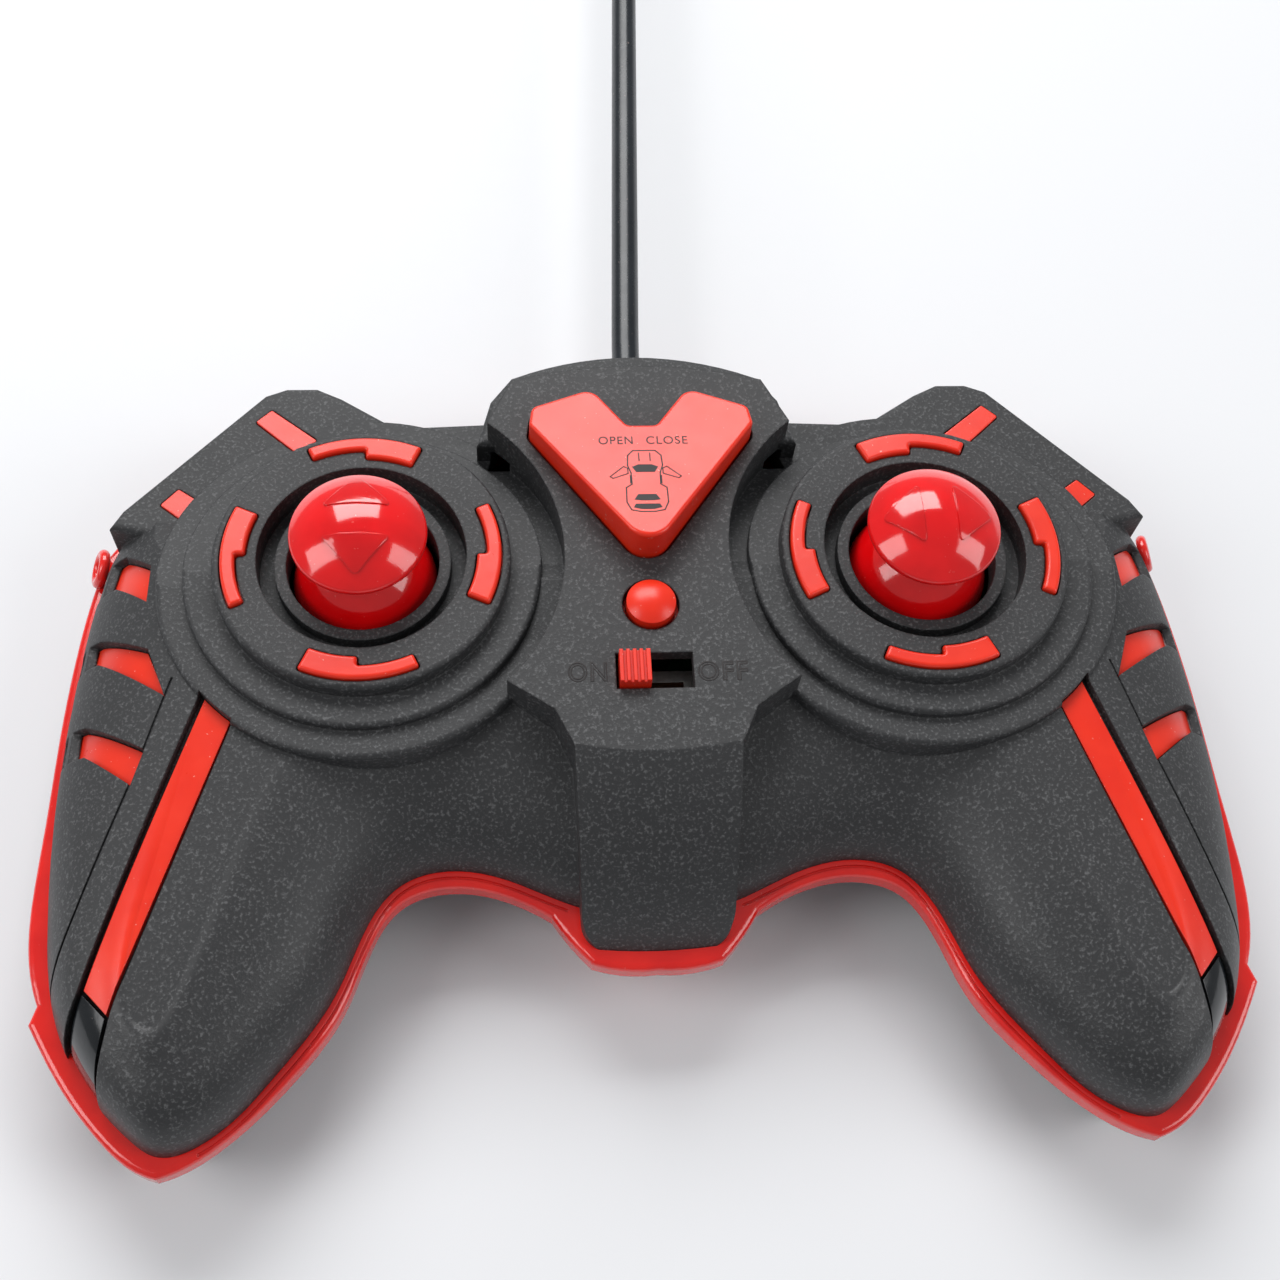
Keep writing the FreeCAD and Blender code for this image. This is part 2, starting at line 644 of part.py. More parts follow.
def make_trim_band():
    """The red band between the two shells, with a lanyard eye on each side."""
    rise = Vector(0, 0, BAND_TOP - BAND_BOTTOM)
    band = band_face(BAND_RUNS, BAND_BOTTOM).extrude(rise)
    band = softened(band, BAND_EDGE, off_middle(at_height(BAND_TOP)))
    seam = inset_half([seam for seam, spine in SEAM_HALF], BAND_INNER_INSET)
    band = band.cut(band_face([seam], BAND_BOTTOM - 1).extrude(rise * 2))
    band = band.fuse(Part.makeTorus(2.1, 0.75, Vector(*LUG), Vector(0.9, 0.0, 0.44)))
    far, near = [band_face([inset_half([seam for seam, spine in SEAM_HALF], reach)], BAND_TOP - GROOVE_DEPTH)
                 for reach in GROOVE_OUT]
    groove = far.cut(near).extrude(Vector(0, 0, 2.0))
    band = band.cut(groove.common(box((11.5, GROOVE_X), (-80.0, GROOVE_Y), (0, 40))))
    return whole(band)


node("trim_band", make_trim_band())

# ---------------------------------------------------------------- bottom shell

BAY_X = size("bay_length") / 2
BAY_LOW_Y = size("bay_centre_y") - size("bay_width") / 2
BAY_HIGH_Y = size("bay_centre_y") + size("bay_width") / 2
BAY_ROOF = 17.2
DOOR_LEDGE = 1.8
DOOR_GAP = 0.25
DOOR_TOP = 0.1 + size("door_thickness")
RECESS_TOP = DOOR_TOP + 0.2
DOOR_SCREW_Y = BAY_HIGH_Y + 4.6
DOOR_LUG_RADIUS = 3.6
HOOK_X = 17.0
HOOK_HALF = 3.0
BOARD_SCREWS = [(47.0, -15.0), (47.0, 11.0)]


def make_bottom_shell():
    """The black lower shell with the battery bay and the screw posts."""
    shell = crowned(BELLY, 0.0, 0.0).cut(crowned(BELLY, WALL, WALL))
    wall = DOOR_LEDGE + 1.4
    shell = shell.fuse(box((0, BAY_X + wall), (BAY_LOW_Y - wall, BAY_HIGH_Y + wall), (0.4, BAY_ROOF + 1.2)))
    lower_half = crowned(BELLY, WALL / 2, WALL / 2)
    solids = [rod(3.6, (0, DOOR_SCREW_Y, 1.0), (0, DOOR_SCREW_Y, 9.0)).common(box((0, 9), (0, 40), (0, 40)))]
    for x, y in HOUSING_SCREWS:
        solids.append(rod(LOWER_POST_RADIUS, (x, y, -1.0), (x, y, BAND_BOTTOM)).common(lower_half))
        solids.append(rod(POST_RADIUS, (x, y, BAND_BOTTOM - 1), (x, y, BAND_TOP - 0.1)))
    solids += [rod(POST_RADIUS, (x, y, 1.0), (x, y, size("board_bottom"))) for x, y in BOARD_SCREWS]
    shell = shell.fuse(solids)
    cuts = [
        box((0, BAY_X), (BAY_LOW_Y, BAY_HIGH_Y), (-1, BAY_ROOF)),
        box((0, BAY_X + DOOR_LEDGE), (BAY_LOW_Y - DOOR_LEDGE, BAY_HIGH_Y + DOOR_LEDGE), (-1, RECESS_TOP)),
        box((HOOK_X - HOOK_HALF - 0.4, HOOK_X + HOOK_HALF + 0.4), (BAY_LOW_Y - 4.0, BAY_LOW_Y + 1), (2.0, 5.6)),
        rod(DOOR_LUG_RADIUS + DOOR_GAP, (0, DOOR_SCREW_Y, -1), (0, DOOR_SCREW_Y, RECESS_TOP)),
        rod(1.8, (0, DOOR_SCREW_Y, 0), (0, DOOR_SCREW_Y, 8.0)),
        box((0, DOOR_LUG_RADIUS + DOOR_GAP), (BAY_HIGH_Y, DOOR_SCREW_Y), (-1, RECESS_TOP)),
    ]
    cuts += [rod(size("screw_radius"), (x, y, 3.0), (x, y, BAND_TOP + 1)) for x, y in HOUSING_SCREWS]
    cuts += [rod(2.6, (x, y, -1.0), (x, y, 6.4)) for x, y in HOUSING_SCREWS]
    cuts += [rod(0.9, (x, y, 10.0), (x, y, size("board_bottom"))) for x, y in BOARD_SCREWS]
    return whole(shell.cut(cuts))


node("bottom_shell", make_bottom_shell())

# ---------------------------------------------------------------- coloured inlays


def conforming(outline, near, far):
    """A plate over an outline, lying between two depths below the outer surface."""
    return prism(outline, 10.0, 36.0).common(crown(near)).cut(crown(far))


def make_dial_inlay():
    """Four arcs that stand up through a dial face from one hidden ring."""
    plate = ring(size("arc_outer"), size("arc_inner"), ARC_ROOF - 1.6, ARC_ROOF - 0.05, DIAL)
    top = size("face_top") + PAD_RISE
    pads = arc_pads(PAD_GAP, ARC_ROOF - 0.5, top)
    pads = [softened(pad, PAD_EDGE, at_height(top)) for pad in pads]
    return fused([plate] + pads)


def make_side_inlay():
    """Three pads that fill the side windows, on one plate behind the cover's wall."""
    pads = [conforming(inset(outline[::-1], PAD_GAP), 0.95, 3.0) for outline in WINDOWS]
    backing = [(65.2, 4.0), (80.0, 4.6), (80.0, -26.0), (67.2, -28.6), (63.6, -20.0)]
    plate = prism(list(reversed(backing)), BAND_TOP + 0.3, 36.0)
    plate = plate.common(crown(WALL + 0.5)).cut(crown(3.5))
    level = box((0, 90), (-90, 60), (WINDOW_SILL + PAD_GAP, 40))
    return fused([pad.common(level) for pad in pads] + [plate])


def make_ear_inlay():
    """Two pads let into a rear shoulder, on one plate below it."""
    top = size("ear_top") + 0.15
    under = size("ear_top") - WALL
    pads = [softened(prism(inset(outline, PAD_GAP), under - 0.5, top, PAD_CORNER - PAD_GAP), 0.12, at_height(top))
            for outline in EAR_PADS]
    plate = prism([(44.2, 21.6), (62.0, 10.4), (66.0, 13.6), (51.8, 28.6)], under - 1.3, under - 0.1)
    return fused(pads + [plate]).cut(rod(POST_RADIUS + 0.3, (58.0, 14.0, 10), (58.0, 14.0, 40)))


RIGHT_INLAYS = [
    ("dial_inlay", make_dial_inlay()),
    ("grip_strip", conforming(STRIP, 0.45, CHANNEL_DEPTH - 0.02).cut(
        ring(size("flange_radius") - 0.4, 0, 10.0, 40.0, DIAL))),
    ("grip_end", conforming(STRIP_END, 0.5, CHANNEL_DEPTH - 0.02).common(
        box((0, 90), (-90, 60), (BAND_TOP + 0.05, 40.0)))),
    ("side_inlay", make_side_inlay()),
    ("ear_inlay", make_ear_inlay()),
]
for name, shape in RIGHT_INLAYS:
    node("right_" + name, shape)
    node("left_" + name, mirror_image(shape))

# ---------------------------------------------------------------- buttons and switch

FLANGE_HIGH = PANEL_UNDER - 0.3
FLANGE_LOW = FLANGE_HIGH - 1.2
TACT_HEIGHT = 5.0
TACT_TOP = BOARD_TOP + TACT_HEIGHT
TACT_PLACES = [(-7.2, 12.0), (7.2, 12.0), (0.0, size("round_y"))]
PLUNGE = 1.2


def make_door_button():
    """The V-shaped push button, with its flange and two stems."""
    (front_y, front_z), (rear_y, rear_z) = V_SLOPE
    slope = [(front_y, 60.0), (front_y, front_z), (rear_y, rear_z), (rear_y, 60.0)]
    loop = [Vector(-30, y, z) for y, z in slope]
    above = Part.Face(Part.makePolygon(loop + loop[:1])).extrude(Vector(60, 0, 0))
    button = v_outline(0.0, FLANGE_LOW, front_z).cut(above)
    button = softened(button, 0.5, lambda edge: edge.BoundBox.ZMin > size("panel_top") + 1)
    flange = v_outline(1.4, FLANGE_LOW, FLANGE_HIGH).common(whole(panel_body(WALL + size("fit_gap"), BAND_TOP)))
    stems = [rod(1.6, (x, y, TACT_TOP + PLUNGE), (x, y, FLANGE_LOW)) for x, y in TACT_PLACES[:2]]
    return fused([button, flange] + stems)


def make_round_button():
    """The domed push button on the middle line."""
    radius = size("round_radius")
    rim = size("panel_top") + 0.8
    dome = turned([
        ((0, FLANGE_LOW), None, (radius + 1.0, FLANGE_LOW)),
        ((radius + 1.0, FLANGE_LOW), None, (radius + 1.0, FLANGE_HIGH)),
        ((radius + 1.0, FLANGE_HIGH), None, (radius, FLANGE_HIGH)),
        ((radius, FLANGE_HIGH), None, (radius, rim)),
        domed((radius, rim), (0, rim + 1.0)),
        ((0, rim + 1.0), None, (0, FLANGE_LOW)),
    ], (0, size("round_y")))
    return dome.fuse(rod(1.6, (0, size("round_y"), TACT_TOP + PLUNGE), (0, size("round_y"), FLANGE_LOW + 0.1)))


node("door_button", make_door_button())
node("round_button", make_round_button())

SWITCH_REST_X = -2.6
SWITCH_TOP = 36.0
CAN_TOP = 28.4


def make_switch_knob():
    """The ribbed slide switch knob with the blade that goes into the switch."""
    low_x = SWITCH_REST_X - size("switch_length") / 2
    centre_y = size("switch_y")
    half = size("switch_width") / 2
    knob = box((low_x, low_x + 4.0), (centre_y - half, centre_y + half), (CAN_TOP + 0.5, SWITCH_TOP))
    grooves = [box((low_x + at, low_x + at + 0.4), (centre_y - 3, centre_y + 3), (SWITCH_TOP - 0.5, 40))
               for at in (0.5, 1.35, 2.2, 3.05)]
    blade = box((SWITCH_REST_X - 1.0, SWITCH_REST_X + 1.0), (centre_y - 0.8, centre_y + 0.8),
                (CAN_TOP - 3.0, CAN_TOP + 1.0))
    return knob.cut(grooves).fuse(blade)


node("switch_knob", make_switch_knob())
node("switch_can", box((-7.0, 7.0), (-20.6, -15.1), (BOARD_TOP + 3.0, CAN_TOP)).cut(
    [box((-6.4, 6.4), (-20.0, -15.7), (BOARD_TOP + 2.0, CAN_TOP - 0.6)),
     box((-4.2, 4.2), (-18.95, -16.75), (CAN_TOP - 1, CAN_TOP + 1))]))
node("switch_base", box((-7.0, 7.0), (-20.6, -15.1), (BOARD_TOP, BOARD_TOP + 3.0)))

# ---------------------------------------------------------------- circuit board


def origin_plane(body, role):
    """One of a body's own origin planes or axes."""
    return [feature for feature in body.Origin.OriginFeatures if feature.Role == role][0]


def sketch_on(body, name, role="XY_Plane"):
    """An empty sketch on one of the body's origin planes."""
    sketch = body.newObject("Sketcher::SketchObject", name)
    sketch.AttachmentSupport = [(origin_plane(body, role), "")]
    sketch.MapMode = "FlatFace"
    return sketch


def rectangle(sketch, length, width, length_cell, width_cell):
    """A rectangle centred on the sketch origin, bound to two cells."""
    half_x = length / 2
    half_y = width / 2
    corners = [Vector(x, y, 0) for x, y in ((-half_x, -half_y), (half_x, -half_y), (half_x, half_y),
                                            (-half_x, half_y))]
    for number in range(4):
        sketch.addGeometry(Part.LineSegment(corners[number], corners[(number + 1) % 4]))
    for number in range(4):
        sketch.addConstraint(Sketcher.Constraint("Coincident", number, 2, (number + 1) % 4, 1))
    for number in (0, 2):
        sketch.addConstraint(Sketcher.Constraint("Horizontal", number))
    for number in (1, 3):
        sketch.addConstraint(Sketcher.Constraint("Vertical", number))
    sketch.addConstraint(Sketcher.Constraint("Symmetric", 0, 1, 1, 2, -1, 1))
    for edge, kind, number, cell in ((0, "DistanceX", length, length_cell), (1, "DistanceY", width, width_cell)):
        mark = sketch.addConstraint(Sketcher.Constraint(kind, edge, 1, edge, 2, number))
        sketch.setExpression("Constraints[%d]" % mark, "Sizes." + cell)


def block_body(name, place, length_cell, width_cell, height_cell):
    """A PartDesign body that starts as one rectangular pad."""
    body = doc.addObject("PartDesign::Body", name)
    body.Label = name
    sketch = sketch_on(body, name + "_outline")
    rectangle(sketch, size(length_cell), size(width_cell), length_cell, width_cell)
    pad = body.newObject("PartDesign::Pad", name + "_pad")
    pad.Profile = sketch
    pad.setExpression("Length", "Sizes." + height_cell)
    body.Placement = Placement(Vector(*place), Rotation())
    return body


def bored(body, places, radius):
    """Round holes right through a body that starts on its XY plane."""
    sketch = sketch_on(body, body.Name + "_holes")
    for x, y in places:
        sketch.addGeometry(Part.Circle(Vector(x, y, 0), Vector(0, 0, 1), radius))
    pocket = body.newObject("PartDesign::Pocket", body.Name + "_bores")
    pocket.Profile = sketch
    pocket.Type = 1
    pocket.Reversed = True
    return body


BOARD_CENTRE_Y = -2.0
board_holes = [(turn * x, y - BOARD_CENTRE_Y) for x, y in BOARD_SCREWS for turn in (1, -1)]
board = block_body("circuit_board", (0, BOARD_CENTRE_Y, size("board_bottom")),
                   "board_length", "board_width", "board_thickness")
bored(board, board_holes, 1.2)


def on_board(x_range, y_range, height):
    """A component's block standing on the board."""
    return box(x_range, y_range, (BOARD_TOP, BOARD_TOP + height))


def make_tact_switch(x, y):
    """One tactile switch: a square body with a round plunger."""
    body = on_board((x - 3, x + 3), (y - 3, y + 3), TACT_HEIGHT - 1.5)
    return body.fuse(rod(1.7, (x, y, BOARD_TOP + 2), (x, y, TACT_TOP)))


node("tact_switches", Part.makeCompound([make_tact_switch(x, y) for x, y in TACT_PLACES]))
CHIP_LEGS = [on_board((-18.1 + 1.27 * number, -17.7 + 1.27 * number), (y, y + 0.9), 1.2)
             for number in range(7) for y in (-0.1, 4.8)]
node("encoder_chip", on_board((-18.6, -9.4), (0.8, 4.8), 1.9).fuse(CHIP_LEGS))
node("crystal", softened(on_board((10.0, 14.0), (-5.5, 5.5), 3.4), 1.0,
                         lambda edge: abs(edge.tangentAt(edge.FirstParameter).z) > 0.99))
COIL_TURNS = [Part.makeTorus(2.1, 0.35, Vector(15.0 + 0.8 * number, -12.0, BOARD_TOP + 2.5), Vector(1, 0, 0))
              for number in range(7)]
node("aerial_coil", fused(COIL_TURNS + [rod(1.85, (14.2, -12.0, BOARD_TOP + 2.5), (20.6, -12.0, BOARD_TOP + 2.5))]))
CAPACITORS = [(-13.5, -6.0, 2.5, 6.5), (-14.0, -13.5, 2.0, 5.0), (21.0, 4.0, 2.0, 5.0)]
node("capacitors", Part.makeCompound([
    rod(radius, (x, y, BOARD_TOP), (x, y, BOARD_TOP + high)) for x, y, radius, high in CAPACITORS]))

# ---------------------------------------------------------------- thumb sticks

HUB_HALF = 3.0
CHEEK_IN = 5.0
CHEEK_OUT = 6.4


def stick_shapes():
    """One stick at the origin, its pivot along X: knob, lever, pin, bracket, spring, contacts."""
    dome = size("dome_radius")
    cap = size("cap_radius")
    rise = size("cap_top") - PIVOT
    rim = rise - 4.2
    skirt = -1.5
    neck = 4.5
    neck_base = math.sqrt(dome * dome - neck * neck)
    skirt_outer = math.sqrt(dome * dome - skirt * skirt)
    inner = dome - 1.3
    skirt_inner = math.sqrt(inner * inner - skirt * skirt)
    bore = 2.6
    knob = turned([
        ((skirt_inner, skirt), None, (skirt_outer, skirt)),
        ((skirt_outer, skirt), (dome * math.cos(0.45), dome * math.sin(0.45)), (neck, neck_base)),
        ((neck, neck_base), None, (neck, rim - 1.6)),
        ((neck, rim - 1.6), None, (cap - 0.6, rim - 0.7)),
        ((cap - 0.6, rim - 0.7), (cap, rim), (cap - 0.35, rim + 0.8)),
        domed((cap - 0.35, rim + 0.8), (0, rise)),
        ((0, rise), None, (0, rise - 3.0)),
        ((0, rise - 3.0), None, (bore, rise - 3.0)),
        ((bore, rise - 3.0), None, (bore, 5.2)),
        ((bore, 5.2), None, (bore + 1.2, 5.2)),
        ((bore + 1.2, 5.2), None, (bore + 1.2, math.sqrt(inner * inner - (bore + 1.2) ** 2))),
        ((bore + 1.2, math.sqrt(inner * inner - (bore + 1.2) ** 2)),
         (inner * math.cos(0.5), inner * math.sin(0.5)), (skirt_inner, skirt)),
    ])
    pin = size("pin_radius")
    lever = fused([rod(bore - 0.02, (0, 0, -1), (0, 0, rise - 3.1)), rod(3.2, (-HUB_HALF, 0, 0), (HUB_HALF, 0, 0)),
                   box((-1.2, 1.2), (-1.5, 1.5), (-3.9, 0))])
    lever = lever.cut(rod(pin + 0.03, (-9, 0, 0), (9, 0, 0)))
    axle = rod(pin, (-CHEEK_OUT - 0.4, 0, 0), (CHEEK_OUT + 0.4, 0, 0))
    foot = BOARD_TOP - PIVOT
    bracket = box((-CHEEK_OUT - 1.4, CHEEK_OUT + 1.4), (-6.5, 6.5), (foot, foot + 1.0))
    bracket = bracket.cut(box((-3.4, 3.4), (-4.4, 4.4), (foot - 1, foot + 2)))
    cheeks = []
    for turn in (1, -1):
        cheek = box((CHEEK_IN, CHEEK_OUT), (-2.4, 2.4), (foot, 0.0)).fuse(rod(2.4, (CHEEK_IN, 0, 0), (CHEEK_OUT, 0, 0)))
        cheeks.append(cheek if turn > 0 else mirror_image(cheek))
    bracket = fused([bracket] + cheeks).cut(rod(pin + 0.01, (-9, 0, 0), (9, 0, 0)))
    coils = [Part.makeTorus(1.9, 0.22, Vector(-4.6 + 0.47 * number, 0, 0), Vector(1, 0, 0)) for number in range(3)]
    spring = fused(coils + [rod(0.2, (-4.1, 1.9, -0.3), (-4.1, 1.9, 1.2)),
                            rod(0.18, (-4.6, 1.9, 0), (-3.66, 1.9, 0))])
    leaf = [box((-1.6, 1.6), (turn * 3.4 - 0.15, turn * 3.4 + 0.15), (foot, foot + 2.6)) for turn in (1, -1)]
    return {
        "stick_knob": knob, "stick_lever": lever, "stick_pin": axle, "stick_bracket": bracket,
        "stick_spring": spring, "stick_contacts": Part.makeCompound(leaf),
    }


STICK_TURNS = {"left": 0.0, "right": 90.0}
for side, across in (("left", -1), ("right", 1)):
    for name, shape in stick_shapes().items():
        piece = node(side + "_" + name, shape)
        piece.Placement = Placement(Vector(across * size("dial_x"), 0, PIVOT),
                                    Rotation(Vector(0, 0, 1), STICK_TURNS[side]))

# ---------------------------------------------------------------- aerial

ALONG = Rotation(Vector(1, 0, 0), -90)
AERIAL_Z = size("aerial_height")
SLEEVE_START = 30.0
TIP_LENGTH = 3.0


# The whip leaves its collar straight and then leans a little to the right.
BEND_START = 39.0
BEND_END = 49.0
LEAN = math.radians(2.6)
BEND_RADIUS = (BEND_END - BEND_START) / math.sin(LEAN)
BEND_SHIFT = BEND_RADIUS * (1 - math.cos(LEAN))


def along_whip(reach):
    """The place on the whip's centre line at a distance past the bend, along the lean."""
    return Vector(BEND_SHIFT + reach * math.sin(LEAN), BEND_END + reach * math.cos(LEAN), AERIAL_Z)


def whip(start, radius, reach):
    """A round bar that follows the whip from start to a distance past the bend."""
    straight = rod(radius, (0, start, AERIAL_Z), (0, BEND_START, AERIAL_Z))
    section = Part.Face(Part.Wire(Part.makeCircle(radius, Vector(0, BEND_START, AERIAL_Z), Vector(0, 1, 0))))
    bend = section.revolve(Vector(BEND_RADIUS, BEND_START, AERIAL_Z), Vector(0, 0, -1), math.degrees(LEAN))
    run = rod(radius, tuple(along_whip(0)), tuple(along_whip(reach)))
    return fused([straight, bend, run])


SLEEVE_REACH = (size("aerial_end") - TIP_LENGTH - BEND_END) / math.cos(LEAN)
sleeve = whip(SLEEVE_START, size("aerial_radius"), SLEEVE_REACH)
node("aerial_sleeve", sleeve.cut(whip(SLEEVE_START - 1, size("aerial_core"), SLEEVE_REACH + 1)))
node("aerial_wire", whip(25.0, size("aerial_core") - 0.01, SLEEVE_REACH - 3))
tip = turned([
    ((0, 0), None, (2.1, 0)), ((2.1, 0), None, (2.1, 1.2)), domed((2.1, 1.2), (0, 3.0)),
    ((0, 3.0), None, (0, 0)),
])
tip_node = node("aerial_tip", tip)
tip_node.Placement = Placement(along_whip(SLEEVE_REACH), Rotation(Vector(0, 0, 1), -math.degrees(LEAN)).multiply(ALONG))
collar = rod(4.0, (0, 31.2, AERIAL_Z), (0, 32.9, AERIAL_Z)).fuse(rod(2.95, (0, 31.2, AERIAL_Z), (0, 38.6, AERIAL_Z)))
collar = collar.cut(rod(size("aerial_radius") + 0.02, (0, 20, AERIAL_Z), (0, 50, AERIAL_Z)))
node("aerial_collar", collar.cut(box((-9, 9), (20, 50), (0, BAND_TOP + 0.1))))
node("aerial_clamp", box((-3.2, 3.2), (21.0, 28.0), (AERIAL_Z - 3, AERIAL_Z + 3)).cut(
    [rod(size("aerial_core"), (0, 20, AERIAL_Z), (0, 30, AERIAL_Z)),
     rod(1.0, (0, 23, AERIAL_Z + 1.5), (0, 23, AERIAL_Z + 4))]))
node("aerial_screw", rod(1.0, (0, 23, AERIAL_Z + 1.5), (0, 23, AERIAL_Z + 3)).fuse(
    rod(1.9, (0, 23, AERIAL_Z + 3), (0, 23, AERIAL_Z + 4.2))))

# ---------------------------------------------------------------- batteries

CELL_RISE = 2.4 + size("cell_radius")
ACROSS = Rotation(Vector(0, 1, 0), 90)
CELL_START = -22.6
for number, turn in ((1, 1), (2, -1)):
    name = "battery_%d" % number
    cell_y = size("bay_centre_y") - turn * (size("cell_radius") + 0.2)
    turned_over = Rotation(Vector(0, 1, 0), 90 * turn)
    can = primitive("Cylinder", name + "_can", (CELL_START * turn, cell_y, CELL_RISE), turned_over,
                    Radius="Sizes.cell_radius", Height="Sizes.cell_length")
    button = primitive("Cylinder", name + "_button", (CELL_START * turn, cell_y, CELL_RISE), turned_over,
                       Radius="2.75", Height="Sizes.cell_length + 1.2")
    combine("MultiFuse", name, can, button)


def make_battery_contacts():
    """The two positive plates at the ends of the bay."""
    plates = []
    for turn in (1, -1):
        cell_y = size("bay_centre_y") - turn * (size("cell_radius") + 0.2)
        plates.append(box(sorted((turn * 28.3, turn * 28.8)), (cell_y - 4.5, cell_y + 4.5), (4.0, 15.6)))
    return Part.makeCompound(plates)


def make_battery_springs():
    """The two conical negative springs, each of stacked rings on a plate."""
    springs = []
    for turn in (1, -1):
        cell_y = size("bay_centre_y") - turn * (size("cell_radius") + 0.2)
        rings = [Part.makeTorus(4.0 - 0.35 * step, 0.45, Vector(-turn * (27.95 - 0.8 * step), cell_y, CELL_RISE),
                                Vector(1, 0, 0)) for step in range(6)]
        plate = box(sorted((-turn * 28.3, -turn * 28.8)), (cell_y - 4.5, cell_y + 4.5), (4.0, 15.6))
        springs.append(fused(rings + [plate]))
    return Part.makeCompound(springs)


node("battery_contacts", make_battery_contacts())
node("battery_springs", make_battery_springs())


def make_battery_door():
    """The battery door with a rounded front edge, two hooks, a screw lug and finger ridges."""
    reach = DOOR_LEDGE - DOOR_GAP
    low = 0.1
    nose = (DOOR_TOP - low) / 2
    nose_y = BAY_LOW_Y - reach + nose
    door = box((0, BAY_X + reach), (nose_y, BAY_HIGH_Y + reach), (low, DOOR_TOP))
    door = door.fuse([
        rod(nose, (0, nose_y, low + nose), (BAY_X + reach, nose_y, low + nose)),
        rod(DOOR_LUG_RADIUS, (0, DOOR_SCREW_Y, low), (0, DOOR_SCREW_Y, DOOR_TOP)).common(box((0, 9), (0, 40), (0, 9))),
        box((0, DOOR_LUG_RADIUS), (BAY_HIGH_Y, DOOR_SCREW_Y), (low, DOOR_TOP)),
        box((HOOK_X - HOOK_HALF, HOOK_X + HOOK_HALF), (BAY_LOW_Y - 3.1, BAY_LOW_Y - 0.4), (2.3, 3.2)),
        box((HOOK_X - HOOK_HALF, HOOK_X + HOOK_HALF), (BAY_LOW_Y - 1.4, BAY_LOW_Y - 0.4), (DOOR_TOP - 0.2, 3.2)),
    ])
    ridges = [box((0, 9), (BAY_HIGH_Y - 3.0 - 1.6 * step, BAY_HIGH_Y - 2.2 - 1.6 * step), (-1, 0.5))
              for step in range(5)]
    bores = [rod(1.15, (0, DOOR_SCREW_Y, -1), (0, DOOR_SCREW_Y, 5)), rod(2.3, (0, DOOR_SCREW_Y, -1), (0, DOOR_SCREW_Y, 1.0))]
    return whole(door.cut(ridges + bores))


node("battery_door", make_battery_door())

# ---------------------------------------------------------------- screws


def make_screw(place, head_radius, head_height, shank_radius, length, upwards):
    """A pan-head screw with a cross recess, its head's inner face at place."""
    way = 1 if upwards else -1
    x, y, z = place
    head = rod(head_radius, (x, y, z - way * head_height), (x, y, z))
    shank = rod(shank_radius, (x, y, z), (x, y, z + way * length))
    deep = z - way * head_height
    slot_z = sorted((deep - way, deep + way * head_height * 0.5))
    arm = head_radius * 0.6
    recess = [box((x - arm, x + arm), (y - 0.25, y + 0.25), slot_z), box((x - 0.25, x + 0.25), (y - arm, y + arm), slot_z)]
    return head.fuse(shank).cut(recess)


node("housing_screws", Part.makeCompound([
    make_screw((x, y, 6.4), 2.4, 1.6, size("screw_radius") - 0.01, 12.0, True) for x, y in SCREW_PLACES]))
node("board_screws", Part.makeCompound([
    make_screw((turn * x, y, BOARD_TOP), 1.8, 1.2, 0.89, 7.0, False)
    for x, y in BOARD_SCREWS for turn in (1, -1)]))
node("battery_door_screw", make_screw((0, DOOR_SCREW_Y, 1.0), 2.1, 0.85, 1.05, 4.2, True))

# ---------------------------------------------------------------- write the pieces

doc.recompute()
os.makedirs("parts", exist_ok=True)
PIECES = []
for piece in doc.Objects:
    failed = "Invalid" in piece.State or "Error" in piece.State
    assert not failed, piece.Label
    kept = piece.isDerivedFrom("PartDesign::Body") or (
        piece.isDerivedFrom("Part::Feature") and not piece.isDerivedFrom("PartDesign::Feature")
        and not piece.isDerivedFrom("Sketcher::SketchObject") and not piece.InList)
    if kept:
        PIECES.append(piece)
for piece in PIECES:
    assert not piece.Shape.isNull() and piece.Shape.isValid(), piece.Label
for piece in PIECES:
    print(piece.Label, len(piece.Shape.Solids), round(piece.Shape.Volume, 1))
    piece.Shape.translated(ORIGIN_MOVE).exportStep("parts/%s.step" % piece.Label)
print(len(PIECES), "pieces")
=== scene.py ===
# %% [markdown]
# # A toy car's radio transmitter
# The mechanical model comes first: it is loaded as a fixed frame, and its pieces stay where
# they are. Everything below either gives one of those pieces its finish or adds a piece that
# shows more than the mechanical model needs, such as the printed signs on a button.

# %% Load the mechanical model
import bpy
import json
import math
from mathutils import Matrix, Vector


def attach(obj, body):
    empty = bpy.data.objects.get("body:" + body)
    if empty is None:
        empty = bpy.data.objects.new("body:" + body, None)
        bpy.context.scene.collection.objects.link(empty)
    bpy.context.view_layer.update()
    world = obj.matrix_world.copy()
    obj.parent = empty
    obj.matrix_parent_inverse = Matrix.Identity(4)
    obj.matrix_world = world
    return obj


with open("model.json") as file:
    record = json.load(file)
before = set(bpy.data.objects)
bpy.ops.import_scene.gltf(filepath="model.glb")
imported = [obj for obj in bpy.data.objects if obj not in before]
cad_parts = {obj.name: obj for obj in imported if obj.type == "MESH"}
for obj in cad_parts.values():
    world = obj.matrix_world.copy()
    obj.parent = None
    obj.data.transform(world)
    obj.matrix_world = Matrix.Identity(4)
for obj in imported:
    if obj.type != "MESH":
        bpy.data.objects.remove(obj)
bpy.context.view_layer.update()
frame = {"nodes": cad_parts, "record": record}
MM = 0.001

# %% [markdown]
# ## Working with operators
# Blender's operators act on whatever is selected, so each step first clears the selection and
# then picks what it needs. These helpers keep that in one place. Sizes are written in
# millimetres, as on a drawing, and turned into metres where an operator is called.

# %% Selecting and naming
edit = bpy.ops.mesh


def mm(*values):
    """Millimetres as metres."""
    return tuple(value * MM for value in values)


